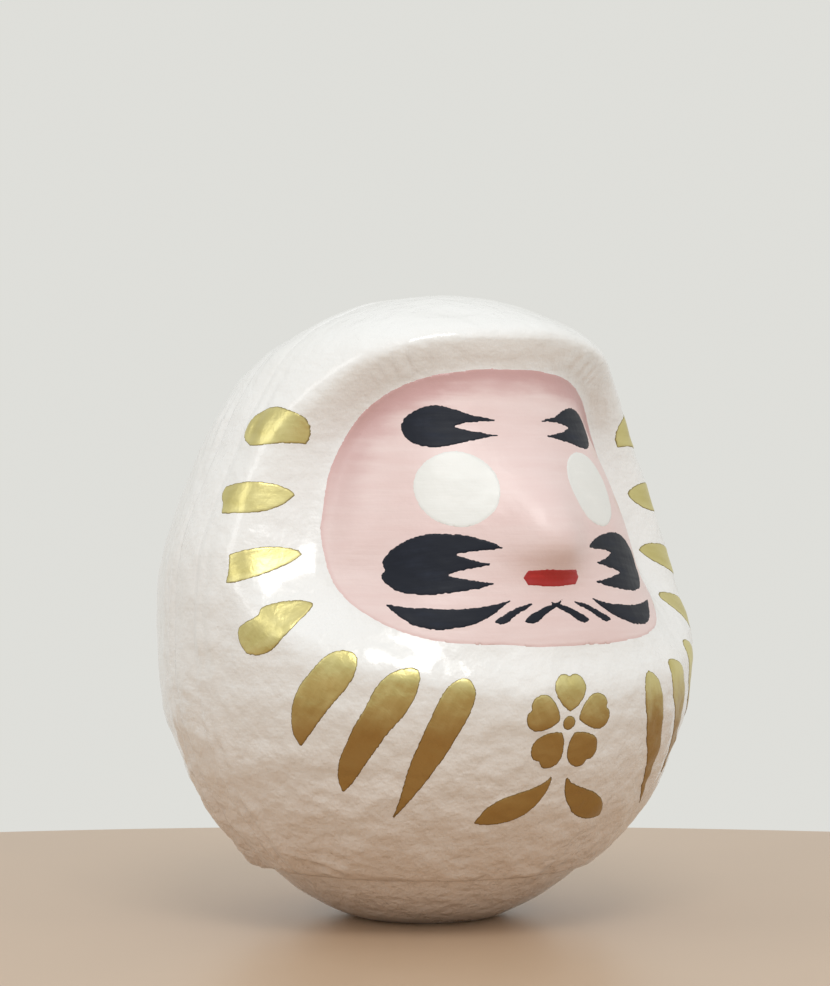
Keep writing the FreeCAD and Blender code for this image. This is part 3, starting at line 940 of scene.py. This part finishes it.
# %% Paint the gold
BROAD_GOLD = (gold, "gold_paint", 0.5 * MM, "body", (6, 0.25), (1.0, 0.16))
NEAT_GOLD = (gold, "gold_paint", 0.45 * MM, "body", (6, 0.2), (1.0, 0.14))
for side in ("left", "right"):
    for k in (1, 2, 3, 4):
        drape(f"temple_mark_{k}_{side}", *BROAD_GOLD)
    for k in (1, 2, 3):
        drape(f"belly_stroke_{k}_{side}", *BROAD_GOLD)
drape("gold_blossom", *NEAT_GOLD)
drape("gold_leaves", *NEAT_GOLD)

# %% [markdown]
# ## Table, light and camera
#
# The doll stands near the far edge of a plain, pale, round table top. The light is that of a bright
# room: the whole surroundings glow softly. A key light high in front gives the gloss something to
# mirror, a narrow window on the left brings out the lumps, and a wide weak light on the right keeps
# the far side open. The camera is level with the face, turned to the doll's right.

# %% Table top
CAMERA_TURN = math.radians(-30.7)
toward_camera = Vector((math.sin(CAMERA_TURN), -math.cos(CAMERA_TURN), 0))
camera_right = Vector((math.cos(CAMERA_TURN), math.sin(CAMERA_TURN), 0))


def table_top(radius=0.62, far_edge=0.208, thick=0.03, corners=240):
    middle = toward_camera * (radius - far_edge)
    rings = [(radius - 0.004, 0.0), (radius - 0.001, -0.0012), (radius, -0.004), (radius, -thick)]
    points = []
    for ring, level in rings:
        for k in range(corners):
            turn = 2 * math.pi * k / corners
            points.append(middle + Vector((ring * math.cos(turn), ring * math.sin(turn), level)))
    faces = [list(range(corners))]
    for i in range(len(rings) - 1):
        for k in range(corners):
            a, b = i * corners + k, i * corners + (k + 1) % corners
            faces.append((a, a + corners, b + corners, b))
    return new_piece("table_top", points, faces)


table = table_top()
material, bench, place = start_finish("pale_table")
tone = bench.ease(bench.grain(place, (60.0, 60.0, 60.0), 3.0, 51.0), -1.0, 1.0)
colour = bench.blend(tone, (0.52, 0.37, 0.25, 1), (0.56, 0.41, 0.29, 1))
end_finish(bench, colour, 0.30 + 0.04 * tone, bench.grain(place, 1.5, 2.0, 52.0) * 0.004)
table.data.materials.append(material)
table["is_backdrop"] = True
print("table top at z = 0, stage only")

# %% Light
def soft_light(name, place, width, tall, power, colour):
    data = bpy.data.lights.new(name, "AREA")
    data.shape = "RECTANGLE"
    data.size, data.size_y = width, tall
    data.energy = power
    data.color = colour
    lamp = bpy.data.objects.new(name, data)
    bpy.context.scene.collection.objects.link(lamp)
    lamp.location = place
    aim = Vector((0, 0, 0.09)) - Vector(place)
    lamp.rotation_euler = aim.to_track_quat("-Z", "Y").to_euler()


key_place = toward_camera * 0.75 + camera_right * 0.10 + Vector((0, 0, 1.05))
window_place = toward_camera * 0.45 - camera_right * 0.78 + Vector((0, 0, 0.62))
fill_place = toward_camera * 0.9 + camera_right * 0.9 + Vector((0, 0, 0.7))
soft_light("key", key_place, 0.50, 0.40, 4.1, (1.0, 1.0, 0.99))
soft_light("window", window_place, 0.30, 0.45, 0.85, (0.985, 0.995, 1.0))
soft_light("fill", fill_place, 0.8, 0.8, 1.0, (0.97, 0.985, 1.0))
world = bpy.data.worlds.new("bright_room")
world.use_nodes = True
world.node_tree.nodes.clear()
bench = Bench(world.node_tree)
glow = bench.wire("ShaderNodeBackground", (), {"Color": (0.735, 0.735, 0.70, 1), "Strength": 1.0})
bench.node("ShaderNodeOutputWorld", (), {"Surface": glow})
bpy.context.scene.world = world
bpy.context.scene.view_settings.view_transform = "Standard"
print("three soft lights and a bright room")

# %% Camera
CAMERA_AWAY = 0.780
CAMERA_UP = 0.115
data = bpy.data.cameras.new("camera")
data.sensor_width = 36.0
data.lens = 104.1
camera = bpy.data.objects.new("camera", data)
bpy.context.scene.collection.objects.link(camera)
camera.location = toward_camera * CAMERA_AWAY - camera_right * 0.0026 + Vector((0, 0, CAMERA_UP))
camera.rotation_euler = (-toward_camera).to_track_quat("-Z", "Y").to_euler()
bpy.context.scene.camera = camera
print("camera at", [round(value, 3) for value in camera.location])

# %% [markdown]
# ## Measure and finish
#
# The looks must not change the doll's size. Its box is measured once more, and how far it reaches
# past the imported model's box is printed.

# %% Keep both boxes and finish
low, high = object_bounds()
print("grown in mm:", [round(v / MM, 2) for v in (*(cad_low - low), *(high - cad_high))])
